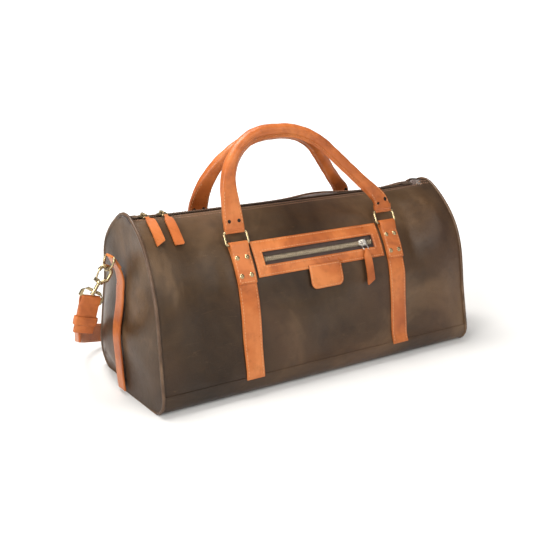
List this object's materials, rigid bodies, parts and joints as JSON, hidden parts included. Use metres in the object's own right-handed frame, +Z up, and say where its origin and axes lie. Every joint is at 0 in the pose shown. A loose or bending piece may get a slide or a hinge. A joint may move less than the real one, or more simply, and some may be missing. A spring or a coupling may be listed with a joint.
{
  "type": "duffel bag",
  "caption": "Leather travel duffel with a domed section, a zip along its ridge, rolled handles on wire rings, a front zip pocket and a clip-on shoulder strap.",
  "frame": {"origin": "on the floor under the middle of the base", "axes": "+X along the length of the bag, -Y the pocket side, +Z up"},
  "size_m": [0.6671, 0.2954, 0.3436],
  "materials": {
    "dark_leather": "waxed pull-up leather, mottled",
    "tan_leather": "smooth oiled leather with burnished edges",
    "lining_cloth": "woven cotton twill",
    "board": "matt stiffener board",
    "zip_tape": "woven herringbone tape",
    "zip_metal": "antique brass teeth",
    "brass": "antique brass, polished on the high spots",
    "nickel": "satin nickel",
    "dark_rivets": "blackened",
    "rope": "twisted cotton cord"
  },
  "bodies": {
    "root": {"base_panel": "dark_leather", "front_panel": "dark_leather", "back_panel": "dark_leather", "left_end_panel": "dark_leather", "right_end_panel": "dark_leather", "left_piping": "dark_leather", "right_piping": "dark_leather", "lining": "lining_cloth", "base_board": "board", "main_zip_tape_front": "zip_tape", "main_zip_tape_back": "zip_tape", "main_zip_chain": "zip_metal", "main_zip_end_tabs": "tan_leather", "pocket_frame": "tan_leather", "pocket_patch": "tan_leather", "pocket_zip_tape": "zip_tape", "pocket_zip_chain": "zip_metal", "pocket_pouch": "lining_cloth", "strap_front_left": "tan_leather", "strap_rivets_front_left": "brass", "strap_front_right": "tan_leather", "strap_rivets_front_right": "brass", "strap_back_left": "tan_leather", "strap_rivets_back_left": "brass", "strap_back_right": "tan_leather", "strap_rivets_back_right": "brass", "end_strap_left": "tan_leather", "hook_eye_left": "brass", "shoulder_strap_end_left": "tan_leather", "shoulder_strap_keeper_left": "tan_leather", "end_strap_right": "tan_leather", "hook_eye_right": "brass", "shoulder_strap_end_right": "tan_leather", "shoulder_strap_keeper_right": "tan_leather", "shoulder_strap": "tan_leather"},
    "ring_front_left": {"ring_front_left": "brass"},
    "ring_front_right": {"ring_front_right": "brass"},
    "handle_front": {"handle_sleeve_front": "tan_leather", "handle_rope_front": "rope", "handle_rivets_front": "dark_rivets"},
    "ring_back_left": {"ring_back_left": "brass"},
    "ring_back_right": {"ring_back_right": "brass"},
    "handle_back": {"handle_sleeve_back": "tan_leather", "handle_rope_back": "rope", "handle_rivets_back": "dark_rivets"},
    "main_slider_left": {"main_slider_left": "brass"},
    "main_pull_left": {"main_pull_left": "tan_leather", "main_pull_link_left": "brass"},
    "d_ring_left": {"d_ring_left": "brass"},
    "hook_left": {"hook_left": "brass"},
    "hook_gate_left": {"hook_gate_left": "brass"},
    "main_slider_right": {"main_slider_right": "brass"},
    "main_pull_right": {"main_pull_right": "tan_leather", "main_pull_link_right": "brass"},
    "d_ring_right": {"d_ring_right": "brass"},
    "hook_right": {"hook_right": "brass"},
    "hook_gate_right": {"hook_gate_right": "brass"},
    "pocket_slider": {"pocket_slider": "nickel"},
    "pocket_pull": {"pocket_pull": "tan_leather", "pocket_pull_link": "nickel"}
  },
  "joints": [
    {"name": "ring_front_left_tilt", "type": "hinge", "parent": "root", "child": "ring_front_left", "pos_m": [-0.1275, -0.05815, 0.19658], "axis": [1, 0, 0], "range_deg": [0, 20]},
    {"name": "ring_front_right_tilt", "type": "hinge", "parent": "root", "child": "ring_front_right", "pos_m": [0.1275, -0.05815, 0.19658], "axis": [1, 0, 0], "range_deg": [0, 20]},
    {"name": "handle_front_fold", "type": "hinge", "parent": "ring_front_left", "child": "handle_front", "pos_m": [-0.1275, -0.05016, 0.21159], "axis": [1, 0, 0], "range_deg": [0, 128]},
    {"name": "ring_back_left_tilt", "type": "hinge", "parent": "root", "child": "ring_back_left", "pos_m": [-0.1275, 0.05815, 0.19658], "axis": [-1, 0, 0], "range_deg": [0, 20]},
    {"name": "ring_back_right_tilt", "type": "hinge", "parent": "root", "child": "ring_back_right", "pos_m": [0.1275, 0.05815, 0.19658], "axis": [-1, 0, 0], "range_deg": [0, 20]},
    {"name": "handle_back_fold", "type": "hinge", "parent": "ring_back_left", "child": "handle_back", "pos_m": [-0.1275, 0.05016, 0.21159], "axis": [-1, 0, 0], "range_deg": [0, 116]},
    {"name": "main_slider_left_slide", "type": "slide", "parent": "root", "child": "main_slider_left", "axis": [1, 0, 0], "range_m": [0, 0.012]},
    {"name": "main_slider_right_slide", "type": "slide", "parent": "root", "child": "main_slider_right", "axis": [1, 0, 0], "range_m": [0, 0.405]},
    {"name": "main_pull_left_lift", "type": "hinge", "parent": "main_slider_left", "child": "main_pull_left", "pos_m": [-0.235, 0, 0.237], "axis": [-1, 0, 0], "range_deg": [0, 100]},
    {"name": "main_pull_right_lift", "type": "hinge", "parent": "main_slider_right", "child": "main_pull_right", "pos_m": [-0.208, 0, 0.237], "axis": [-1, 0, 0], "range_deg": [0, 100]},
    {"name": "pocket_slider_slide", "type": "slide", "parent": "root", "child": "pocket_slider", "axis": [-1, 0, 0], "range_m": [0, 0.155]},
    {"name": "pocket_pull_lift", "type": "hinge", "parent": "pocket_slider", "child": "pocket_pull", "pos_m": [0.075, -0.07079, 0.17578], "axis": [-1, 0, 0], "range_deg": [0, 110]},
    {"name": "d_ring_left_swing", "type": "hinge", "parent": "root", "child": "d_ring_left", "pos_m": [-0.28172, 0, 0.18832], "axis": [0, 1, 0], "range_deg": [-4, 8]},
    {"name": "hook_left_swivel", "type": "hinge", "parent": "root", "child": "hook_left", "pos_m": [-0.29894, 0, 0.15499], "axis": [0.5592, 0, 0.829], "range_deg": [-18, 18]},
    {"name": "hook_gate_left_open", "type": "hinge", "parent": "hook_left", "child": "hook_gate_left", "pos_m": [-0.30184, 0, 0.1625], "axis": [0, 1, 0], "range_deg": [0, 30], "stiffness_Nm_per_rad": 0.01, "springref_deg": -8.59},
    {"name": "d_ring_right_swing", "type": "hinge", "parent": "root", "child": "d_ring_right", "pos_m": [0.27447, 0, 0.18882], "axis": [0, -1, 0], "range_deg": [-4, 8]},
    {"name": "hook_right_swivel", "type": "hinge", "parent": "root", "child": "hook_right", "pos_m": [0.29297, 0, 0.15618], "axis": [-0.5906, 0, 0.807], "range_deg": [-18, 18]},
    {"name": "hook_gate_right_open", "type": "hinge", "parent": "hook_right", "child": "hook_gate_right", "pos_m": [0.29558, 0, 0.16379], "axis": [0, -1, 0], "range_deg": [0, 30], "stiffness_Nm_per_rad": 0.01, "springref_deg": -8.59}
  ],
  "couplings": [
    {"joint": "ring_front_right_tilt", "follows": "ring_front_left_tilt", "ratio": 1},
    {"joint": "ring_back_right_tilt", "follows": "ring_back_left_tilt", "ratio": 1}
  ]
}
